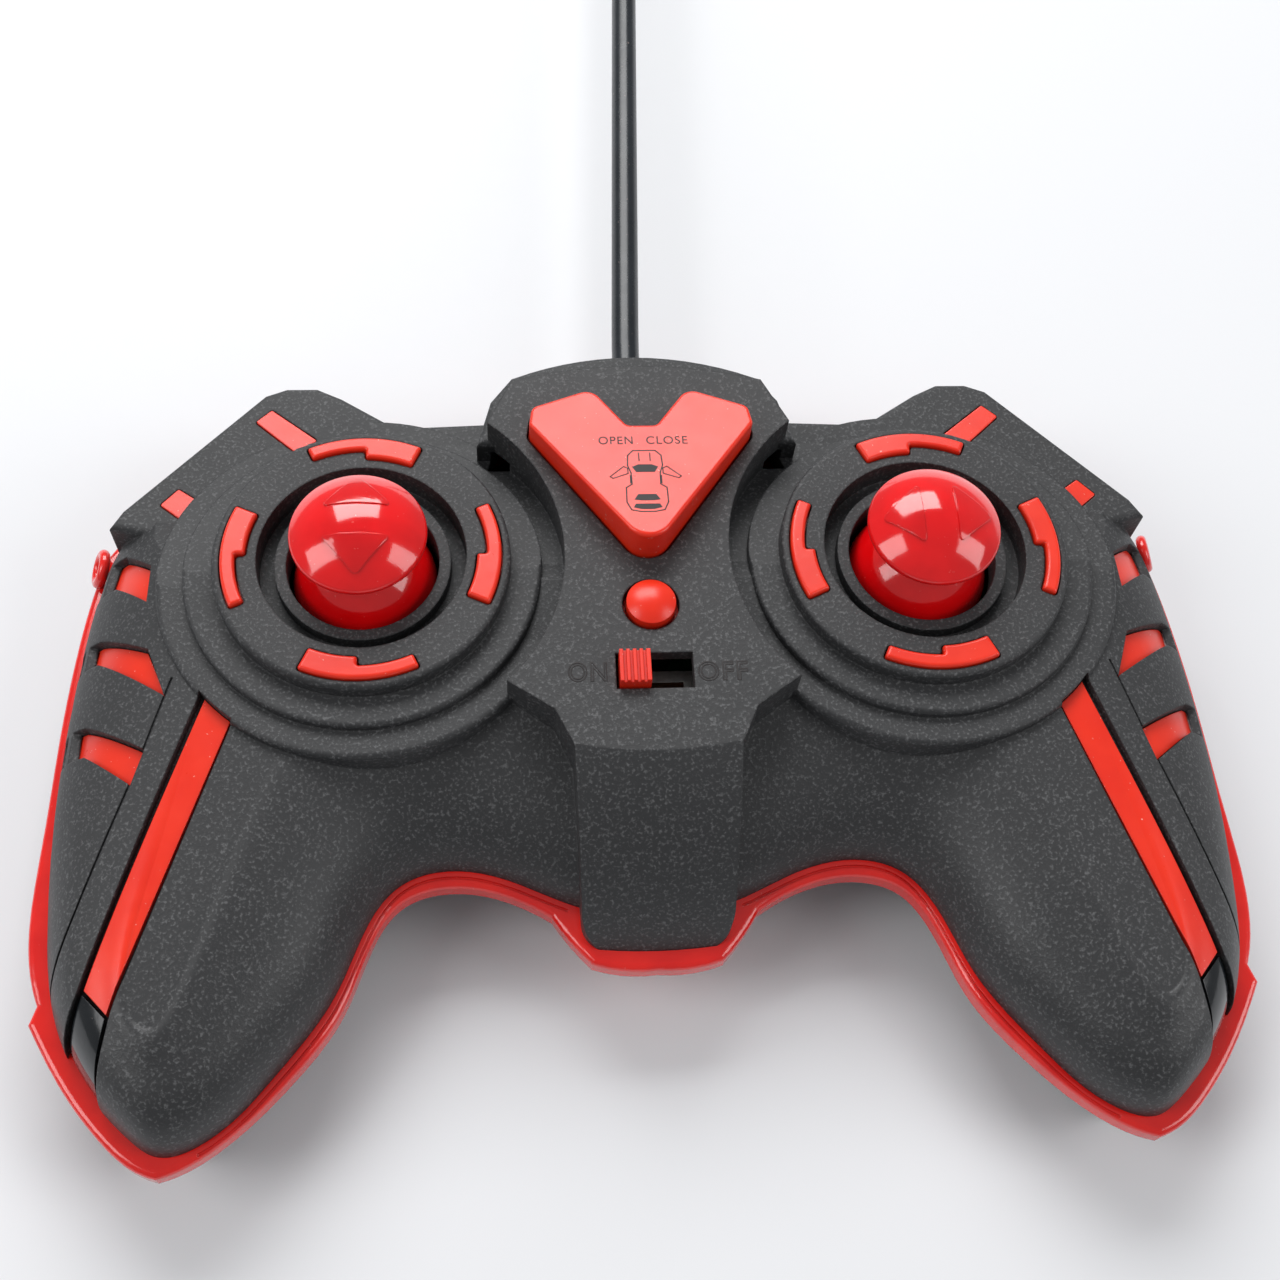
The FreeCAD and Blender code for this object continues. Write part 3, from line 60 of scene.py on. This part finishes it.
def only(piece):
    """Select one object and make it active, in object mode."""
    if bpy.context.mode != "OBJECT":
        bpy.ops.object.mode_set(mode="OBJECT")
    bpy.ops.object.select_all(action="DESELECT")
    if piece:
        piece.select_set(True)
        bpy.context.view_layer.objects.active = piece
    return piece


def named(name):
    """The object that an operator has just made, under its own name."""
    piece = bpy.context.active_object
    piece.name = name
    piece.data.name = name
    return piece


def open_mesh(piece):
    """Go into edit mode with every vertex selected."""
    only(piece)
    bpy.ops.object.mode_set(mode="EDIT")
    edit.select_mode(type="VERT")
    edit.select_all(action="SELECT")


MERGE_DISTANCE = 1e-6


def close_mesh(piece, angle):
    """Merge doubles, turn the faces outwards and shade smooth up to an angle."""
    bpy.ops.object.mode_set(mode="EDIT")
    edit.select_all(action="SELECT")
    edit.remove_doubles(threshold=MERGE_DISTANCE)
    edit.normals_make_consistent(inside=False)
    bpy.ops.object.mode_set(mode="OBJECT")
    only(piece)
    bpy.ops.object.transform_apply(location=True, rotation=True, scale=True)
    bpy.ops.object.shade_smooth_by_angle(angle=math.radians(angle))
    return piece


def with_modifier(piece, kind, **settings):
    """Add a modifier, set it and apply it."""
    only(piece)
    modifier = piece.modifiers.new(kind.title(), kind)
    for name, value in settings.items():
        setattr(modifier, name, value)
    bpy.ops.object.modifier_apply(modifier=modifier.name)
    return piece


def joined(name, pieces):
    """Several objects as one."""
    only(pieces[0])
    for piece in pieces[1:]:
        piece.select_set(True)
    bpy.ops.object.join()
    return named(name)


# %% [markdown]
# ## Writing shader maths
# A material is a graph of nodes. Wrapping a socket in a small class lets a pattern be written
# as a formula, and each operator adds the Math node it stands for.

# %% Sockets as values
class Wire:
    """One output of a node; arithmetic on it adds Math nodes."""

    def __init__(self, finish, socket):
        self.finish = finish
        self.socket = socket

    def maths(self, operation, *values):
        return self.finish.add("ShaderNodeMath", {"operation": operation}, dict(enumerate(values)))

    def __add__(self, other):
        return self.maths("ADD", self, other)

    def __sub__(self, other):
        return self.maths("SUBTRACT", self, other)

    def __rsub__(self, other):
        return self.maths("SUBTRACT", other, self)

    def __mul__(self, other):
        return self.maths("MULTIPLY", self, other)

    __radd__ = __add__
    __rmul__ = __mul__


NOISE_ROUGHNESS = 0.55
BEVEL_SAMPLES = 6


class Finish:
    """A material, with the few recipes that its patterns share."""

    def __init__(self, name, colour, roughness, **constants):
        self.material = bpy.data.materials.new(name)
        self.material.use_nodes = True
        self.tree = self.material.node_tree
        self.shader = self.tree.nodes["Principled BSDF"]
        self.place = self.add("ShaderNodeTexCoord", {}, {}, "Object")
        self.set("Base Color", (*colour, 1))
        self.set("Roughness", roughness)
        for socket, value in constants.items():
            self.set(socket.replace("_", " "), value)

    def set(self, socket, value):
        """A constant or a pattern on one of the shader's sockets."""
        if isinstance(value, Wire):
            self.tree.links.new(value.socket, self.shader.inputs[socket])
        else:
            self.shader.inputs[socket].default_value = value
        return self

    def add(self, kind, settings, values, output=0):
        """Any node: its settings first, then the values or links of its sockets."""
        made = self.tree.nodes.new(kind)
        for name, value in settings.items():
            setattr(made, name, value)
        for name, value in values.items():
            if isinstance(value, Wire):
                self.tree.links.new(value.socket, made.inputs[name])
            else:
                made.inputs[name].default_value = value
        return Wire(self, made.outputs[output])

    def stretched(self, scale, turn=0.0):
        """Object coordinates scaled along each axis, turned about Z."""
        return self.add("ShaderNodeMapping", {}, {"Vector": self.place, "Scale": scale,
                                                  "Rotation": (0, 0, math.radians(turn))})

    def cloud(self, size_mm, detail=2.0, place=None):
        """Soft noise whose blobs are about size_mm across."""
        values = {"Vector": place or self.place, "Scale": 1 / (size_mm * MM), "Detail": detail,
                  "Roughness": NOISE_ROUGHNESS}
        return self.add("ShaderNodeTexNoise", {}, values)

    def between(self, value, low, high):
        """0 below low, 1 above high, and a smooth step between."""
        return self.add("ShaderNodeMapRange", {"interpolation_type": "SMOOTHSTEP"},
                        {"Value": value, "From Min": low, "From Max": high})

    def mixed(self, share, first, second):
        """A colour between two colours."""
        ends = [end if isinstance(end, Wire) else (*end, 1) for end in (first, second)]
        return self.add("ShaderNodeMix", {"data_type": "RGBA"}, {0: share, 6: ends[0], 7: ends[1]}, 2)

    def axis(self, letter):
        """One of the object coordinates."""
        return self.add("ShaderNodeSeparateXYZ", {}, {"Vector": self.place}, letter)

    def relief(self, height, depth_mm, edge_mm):
        """Bumps from a height pattern, over edges that are rounded a little."""
        rounded = self.add("ShaderNodeBevel", {"samples": BEVEL_SAMPLES}, {"Radius": edge_mm * MM})
        values = {"Height": height, "Distance": depth_mm * MM, "Strength": 1.0, "Normal": rounded}
        return self.set("Normal", self.add("ShaderNodeBump", {}, values))


# %% [markdown]
# ## The black shells
# The case is moulded in black plastic whose tool was spark-eroded, so the surface is covered
# with fine pits that catch the light as grey sparkle; that sparkle is painted into the colour as
# lighter specks, a painted glint. Hands have rubbed the grips: there the grain is worn a little
# smoother, and light scratches run across it.

# %% Black grained plastic
SCUFF_GREY = (0.23, 0.23, 0.225)
SCUFF_TURN = 62


def grained_black(name):
    """Black plastic with a fine eroded grain and painted glints in lighter specks, worn and scuffed
    towards the grips.
    """
    finish = Finish(name, (0.03, 0.03, 0.032), 0.5)
    grain = finish.cloud(0.42, 3.0)
    # The lighter specks are painted glints: sparkle where the grain catches light, put into the colour.
    painted_glint_specks = finish.between(grain, 0.5, 0.72)
    patches = finish.cloud(14.0, 3.0)
    colour = finish.mixed(painted_glint_specks, (0.026, 0.0265, 0.028), (0.1, 0.101, 0.104))
    front = finish.between(finish.axis("Y") * -1.0, -0.002, 0.03)
    streaks = finish.cloud(1.0, 4.0, finish.stretched((0.9, 0.12, 0.4), SCUFF_TURN))
    places = finish.between(finish.cloud(17.0, 2.0), 0.52, 0.66)
    scuffs = finish.between(streaks, 0.66, 0.74) * places * front
    finish.set("Base Color", finish.mixed(scuffs * 0.55, colour, SCUFF_GREY))
    finish.set("Roughness", 0.47 + 0.14 * patches + 0.08 * grain - 0.12 * front)
    return finish.relief(grain + 0.4 * finish.cloud(1.1, 2.0), 0.055, 0.35)


# %% [markdown]
# ## Glossy, metal and satin finishes
# The other materials share three recipes. A polished moulding gets a faint orange peel and a
# few specks of dust, metal gets brushing, and satin plastic or laminate gets a soft grain. One
# recipe for each kind keeps the list of finishes short.

# %% Recipes for the other materials
DUST = (0.85, 0.62, 0.55)


def polished(name, colour, deep, roughness, edge=0.15, speckle=0.25, **constants):
    """A glossy moulding: slightly uneven gloss, a few dust specks and a faint orange peel."""
    finish = Finish(name, colour, roughness, **constants)
    tint = finish.mixed(finish.between(finish.cloud(9.0, 3.0), 0.35, 0.7), colour, deep)
    dust = finish.between(finish.cloud(0.5, 1.0), 0.74, 0.8) * speckle
    finish.set("Base Color", finish.mixed(dust, tint, DUST))
    finish.set("Roughness", roughness + 0.12 * finish.cloud(3.0, 4.0) + 0.3 * dust)
    return finish.relief(finish.cloud(2.6, 2.0), 0.02, edge)


def bright_metal(name, colour, roughness):
    """Plated or drawn metal with fine brushing and dull patches."""
    finish = Finish(name, colour, roughness, Metallic=1.0)
    brush = finish.cloud(0.3, 3.0, finish.stretched((1.0, 8.0, 1.0)))
    dull = finish.between(finish.cloud(2.5, 3.0), 0.45, 0.75)
    darker = tuple(channel * 0.72 for channel in colour)
    finish.set("Base Color", finish.mixed(dull, colour, darker))
    finish.set("Roughness", roughness + 0.22 * brush)
    return finish.relief(brush, 0.01, 0.06)


def plain_moulding(name, colour, roughness, grain_mm=0.5):
    """A satin moulding or laminate with a fine grain."""
    finish = Finish(name, colour, roughness)
    grain = finish.cloud(grain_mm, 4.0)
    dark = tuple(channel * 0.7 for channel in colour)
    finish.set("Base Color", finish.mixed(finish.between(grain, 0.35, 0.7), dark, colour))
    finish.set("Roughness", roughness + 0.15 * grain)
    return finish.relief(grain, 0.02, 0.08)


# %% [markdown]
# ## One finish for each material slot
# Every piece names a material slot, and each slot has one finish. That way a whole family of
# pieces changes together when a colour is adjusted.

# %% The finishes
FINISHES = {
    "black_shell": grained_black("black_grained"),
    "red_gloss_trim": polished("red_trim_gloss", (0.86, 0.014, 0.008), (0.74, 0.008, 0.006), 0.12,
                               0.3, 0.1, Coat_Weight=0.5, Coat_Roughness=0.05),
    "red_inlay": polished("red_inlay_satin", (0.88, 0.034, 0.01), (0.8, 0.024, 0.008), 0.24, 0.18, 0.5,
                          Subsurface_Weight=0.15, Subsurface_Radius=(0.6, 0.1, 0.05),
                          Subsurface_Scale=0.002),
    "red_clear": polished("red_stick_clear", (0.86, 0.003, 0.005), (0.72, 0.001, 0.003), 0.06, 0.2, 0.1,
                          Subsurface_Weight=0.35, Subsurface_Radius=(1.0, 0.06, 0.05),
                          Subsurface_Scale=0.003, Coat_Weight=0.6, Coat_Roughness=0.04),
    "black_gloss": polished("black_polished", (0.006, 0.008, 0.01), (0.01, 0.012, 0.014), 0.08,
                            0.15, 0.1),
    "black_sleeve": polished("black_sleeve_smooth", (0.008, 0.011, 0.015), (0.014, 0.018, 0.023), 0.22,
                             0.1, 0.2),
    "plated_steel": bright_metal("steel_plated", (0.66, 0.66, 0.63), 0.24),
    "spring_steel": bright_metal("steel_spring", (0.5, 0.5, 0.5), 0.3),
    "brass_leaf": bright_metal("brass_stamped", (0.75, 0.56, 0.25), 0.28),
    "copper": bright_metal("copper_enamelled", (0.72, 0.3, 0.13), 0.2),
    "brown_laminate": plain_moulding("laminate_brown", (0.3, 0.15, 0.06), 0.5),
    "circuit_laminate": plain_moulding("laminate_green", (0.035, 0.16, 0.06), 0.35, 1.6),
    "black_component": plain_moulding("component_black", (0.03, 0.03, 0.032), 0.5),
    "component_sleeve": polished("component_sleeve_blue", (0.02, 0.04, 0.15), (0.015, 0.03, 0.11), 0.25),
    "white_nylon": plain_moulding("nylon_white", (0.8, 0.79, 0.74), 0.45),
    "cell_jacket": polished("cell_jacket_foil", (0.09, 0.1, 0.12), (0.07, 0.08, 0.1), 0.25, Metallic=0.3),
}
print(len(FINISHES), "finishes")

# %% [markdown]
# ## Finishing the mechanical pieces
# The record of the mechanical model says which slot each piece takes, so a loop is enough.
# The pieces keep their own shapes; only their material changes.

# %% Give every mechanical piece its finish
SLOT_OF = {part["node"]: part["material_slot"] for part in frame["record"]["subparts"]}
for node_name, node_object in frame["nodes"].items():
    node_object.data.materials.clear()
    node_object.data.materials.append(FINISHES[SLOT_OF[node_name]].material)
print(len(SLOT_OF), "mechanical pieces finished")


def finished(piece, body, finish):
    """Give a new piece its finish and say what it rides on."""
    piece.data.materials.clear()
    piece.data.materials.append(finish.material)
    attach(piece, body)
    print(piece.name, len(piece.data.polygons), "faces")
    return piece


# %% [markdown]
# ## Signs on the stick caps
# Each cap carries two raised arrowheads with round corners, pointing the two ways its stick
# tilts. They could be cut into the knob with a boolean, but the cap is a smooth dome, so it is
# simpler to draw a flat arrowhead, drop it onto the dome with a shrinkwrap and thicken it.

# %% Drop a flat drawing onto a surface
def laid_on(piece, surface, above_mm):
    """Project every vertex straight down onto the surface and leave it a little above."""
    with_modifier(piece, "SHRINKWRAP", target=surface, wrap_method="PROJECT", use_project_z=True,
                  use_negative_direction=True, use_positive_direction=False, offset=above_mm * MM)
    return piece


ARROW_THICK = 0.36
ARROW_EDGE = 0.12


def thickened(piece):
    """Give a laid-on drawing a body, half of it sunk in, with its edges rounded."""
    with_modifier(piece, "SOLIDIFY", thickness=ARROW_THICK * MM, offset=0.0)
    with_modifier(piece, "BEVEL", width=ARROW_EDGE * MM, segments=3, limit_method="ANGLE",
                  angle_limit=math.radians(50))
    return close_mesh(piece, 40)


# %% [markdown]
# ## Drawing an arrowhead
# An arrowhead is a triangle whose corners are bevelled round. The shrinkwrap moves only
# vertices, so the flat face is first cut into many small ones that can follow the dome.

# %% An arrowhead
ARROW = [(-4.45, 2.2), (4.45, 2.2), (0.0, 7.35)]
ARROW_ROUND = 0.8
ARROW_HALVINGS = 4
CAP_CLEAR = 60.0


def patch(name, points):
    """A flat filled shape with straight sides, high above the object."""
    only(None)
    edit.primitive_circle_add(vertices=len(points), radius=0.01, fill_type="NGON", location=(0, 0, 0))
    piece = named(name)
    for vertex, (x, y) in zip(piece.data.vertices, points):
        vertex.co = mm(x, y, CAP_CLEAR)
    return piece


def arrowhead(name, middle, turn):
    """A flat arrowhead with round corners on one side of a cap, cut into small faces."""
    across = math.cos(math.radians(turn))
    along = math.sin(math.radians(turn))
    corners = [(middle[0] + across * x - along * y, middle[1] + along * x + across * y) for x, y in ARROW]
    piece = patch(name, corners)
    open_mesh(piece)
    edit.bevel(offset=ARROW_ROUND * MM, segments=6, affect="VERTICES")
    edit.select_mode(type="FACE")
    edit.select_all(action="SELECT")
    edit.poke()
    for _ in range(ARROW_HALVINGS):
        edit.subdivide(number_cuts=1)
    bpy.ops.object.mode_set(mode="OBJECT")
    return piece


# %% [markdown]
# ## Two arrowheads on each cap
# The left stick tilts fore and aft and the right one from side to side, so the right pair is
# the left pair turned by a quarter.

# %% Two arrowheads on each cap
STICKS = {"left": ((-37.6, 26.0), 0), "right": ((37.6, 26.0), 90)}
for side, (middle, first_turn) in STICKS.items():
    knob = frame["nodes"][side + "_stick_knob"]
    heads = []
    for number, turn in enumerate((first_turn, first_turn + 180)):
        head = arrowhead("%s_head_%d" % (side, number), middle, turn)
        heads.append(thickened(laid_on(head, knob, 0.0)))
    arrows = joined(side + "_stick_arrows", heads)
    finished(arrows, side + "_stick", FINISHES["red_clear"])

# %% [markdown]
# ## Words and drawing on the door button
# The door button is printed with two plain words and a car seen from above with both doors
# open. The words are text turned into a mesh, and the lines of the drawing are thin flat
# strips. All of it is laid a hair above the sloping top of the button.

# %% Printed marks
INK = plain_moulding("ink_black", (0.02, 0.016, 0.016), 0.5)
BUTTON = frame["nodes"]["door_button"]
MARK_ABOVE = 0.02
CAPITAL_SHARE = 0.7
LETTER_SPACING = 1.12


def word(name, body, place, height_mm, width_mm, outline_mm=0.0):
    """A word as a mesh, filled or as outlines, fitted to a capital height and a width."""
    only(None)
    bpy.ops.object.text_add(location=(0, 0, 0))
    piece = named(name)
    piece.data.body = body
    piece.data.align_x = "CENTER"
    piece.data.size = height_mm * MM / CAPITAL_SHARE
    piece.data.space_character = LETTER_SPACING
    if outline_mm:
        piece.data.fill_mode = "NONE"
        piece.data.bevel_depth = outline_mm * MM
    bpy.ops.object.convert(target="MESH")
    wide = piece.dimensions.x
    piece.scale = (width_mm * MM / wide, 1, 1)
    piece.location = mm(*place, CAP_CLEAR)
    only(piece)
    bpy.ops.object.transform_apply(location=True, rotation=True, scale=True)
    return piece


STROKE_OVERLAP = 0.8


def stroke(name, points, width_mm, closed=False):
    """A pen line through points: one flat strip for each straight run, slightly overlapping."""
    ends = points + (points[:1] if closed else [])
    parts = []
    for (x0, y0), (x1, y1) in zip(ends, ends[1:]):
        run = math.hypot(x1 - x0, y1 - y0)
        only(None)
        edit.primitive_plane_add(size=1.0, location=(0, 0, 0))
        part = bpy.context.active_object
        part.scale = (*mm(run + width_mm * STROKE_OVERLAP, width_mm), 1)
        part.rotation_euler = (0, 0, math.atan2(y1 - y0, x1 - x0))
        part.location = mm((x0 + x1) / 2, (y0 + y1) / 2, CAP_CLEAR)
        bpy.ops.object.transform_apply(location=True, rotation=True, scale=True)
        parts.append(part)
    return joined(name, parts)


def both_sides(points):
    """A drawing's half outline and its mirror image, as one loop."""
    return points + [(-x, y) for x, y in reversed(points)]


# %% [markdown]
# ## The car seen from above
# The drawing is a half outline and its mirror image, so it is symmetrical by construction.
# Places are in millimetres from the middle of the car, with the bonnet towards the rear of the
# button. The windows are filled shapes, and everything else is a line.

# %% The car's lines
CAR_Y = 34.2
CAR_PEN = 0.17
DETAIL_PEN = 0.15
CAR_BODY = [(1.5, 5.15), (2.25, 4.3), (2.35, 2.6), (1.95, 1.3), (1.9, -0.6), (2.7, -1.2), (2.75, -3.6),
            (2.2, -4.9), (0.9, -5.2)]
WINDSCREEN = [(0.9, 2.75), (1.75, 2.35), (1.25, 1.45)]
REAR_WINDOW = [(1.2, -2.3), (1.75, -3.2), (0.8, -3.35)]
BUMPER = [(1.6, -3.9), (1.9, -4.5), (0.8, -4.8)]
SIDE_WINDOW = [(1.95, 0.9), (2.15, 0.9), (2.15, -0.5), (1.95, -0.5)]
BONNET = [(0.75, 4.7), (0.75, 3.4)]
DOOR = [(2.35, 2.1), (2.9, 2.4), (4.75, 0.7), (4.4, 0.4), (2.35, 1.2)]


def on_car(points, flip=1):
    """Places of the drawing moved to where it is printed."""
    return [(x * flip, y + CAR_Y) for x, y in points]


marks = [stroke("car_line", on_car(both_sides(CAR_BODY)), CAR_PEN, closed=True)]
for number, shape in enumerate((WINDSCREEN, REAR_WINDOW, BUMPER)):
    marks.append(patch("car_fill_%d" % number, on_car(both_sides(shape))))
for flip in (1, -1):
    marks.append(stroke("car_door_%d" % flip, on_car(DOOR, flip), DETAIL_PEN, closed=True))
    marks.append(stroke("car_bonnet_%d" % flip, on_car(BONNET, flip), DETAIL_PEN))
    marks.append(patch("car_side_%d" % flip, on_car(SIDE_WINDOW, flip)))
marks.append(word("word_open", "OPEN", (-3.7, 40.5), 1.35, 4.6))
marks.append(word("word_close", "CLOSE", (3.2, 40.5), 1.35, 5.6))
marks = [laid_on(mark, BUTTON, MARK_ABOVE) for mark in marks]
finished(joined("door_button_print", marks), "door_button", INK)

# %% [markdown]
# ## Words beside the switch
# The words beside the slide switch are only outlines. Text with no fill and a thin bevel gives
# round tubes along the letters; flattened and lowered to the panel, they read as fine lines.

# %% Outlined words
PANEL_TOP = 34.2
OUTLINE = 0.12
FLATTENED = 0.4
SWITCH_WORDS = [("word_on", "ON", (-8.6, 6.8), 5.0), ("word_off", "OFF", (8.7, 6.6), 6.5)]
outlines = []
for name, body, place, width in SWITCH_WORDS:
    mark = only(word(name, body, place, 2.65, width, OUTLINE))
    mark.scale = (1, 1, FLATTENED)
    mark.location = mm(0, 0, PANEL_TOP - FLATTENED * CAP_CLEAR)
    bpy.ops.object.transform_apply(location=True, rotation=True, scale=True)
    outlines.append(mark)
finished(joined("switch_words", outlines), "housing", INK)

# %% [markdown]
# ## Camera
# A camera close above the grips looks down and forwards at the case, so the grips spread
# towards it and the aerial runs up out of the picture. Its axes are given as the direction it
# looks in and its upward direction, which needs no guess about the order of turns.

# %% Camera
camera_data = bpy.data.cameras.new("camera")
camera = bpy.data.objects.new("camera", camera_data)
bpy.context.scene.collection.objects.link(camera)
camera_data.lens = 46.15
camera_data.sensor_width = 36.0
camera_data.clip_start = 0.01
camera.location = mm(-18.28, -85.87, 220.71)
LOOK = Vector((0.07835, 0.46526, -0.88170)).normalized()
UP = Vector((0.01817, 0.88360, 0.46788))
rightwards = LOOK.cross(UP).normalized()
upright = rightwards.cross(LOOK).normalized()
camera.rotation_mode = "QUATERNION"
camera.rotation_quaternion = Matrix((rightwards, upright, -LOOK)).transposed().to_quaternion()
bpy.context.scene.camera = camera

# %% [markdown]
# ## Floor and lights
# The object lies on pale paper. One large soft box behind it and one on each side give the
# soft highlights that a light tent gives, and the world fills the shadows.

# %% Floor and lights
only(None)
edit.primitive_plane_add(size=3.0, location=(0, 0, 0))
floor = named("floor")
paper = Finish("paper", (0.80, 0.81, 0.83), 0.6)
paper.set("Roughness", 0.55 + 0.1 * paper.cloud(3.0))
floor.data.materials.append(paper.material)


def soft_light(name, place, size, power):
    """A soft box, aimed at the middle of the floor."""
    data = bpy.data.lights.new(name, "AREA")
    data.shape = "RECTANGLE"
    data.size, data.size_y = size
    data.energy = power
    lamp = bpy.data.objects.new(name, data)
    lamp.location = place
    lamp.rotation_mode = "QUATERNION"
    lamp.rotation_quaternion = (-Vector(place)).to_track_quat("-Z", "Y")
    bpy.context.scene.collection.objects.link(lamp)


soft_light("box_rear", (-0.1, 0.75, 0.75), (0.8, 0.5), 8.5)
soft_light("box_left", (-0.7, -0.1, 0.65), (0.4, 0.6), 3.0)
soft_light("box_right", (0.75, -0.15, 0.6), (0.4, 0.6), 2.6)
world = bpy.data.worlds.new("studio")
bpy.context.scene.world = world
world.use_nodes = True
world.node_tree.nodes["Background"].inputs["Color"].default_value = (0.97, 0.98, 1.0, 1)
world.node_tree.nodes["Background"].inputs["Strength"].default_value = 0.3
bpy.context.scene.view_settings.view_transform = "Standard"
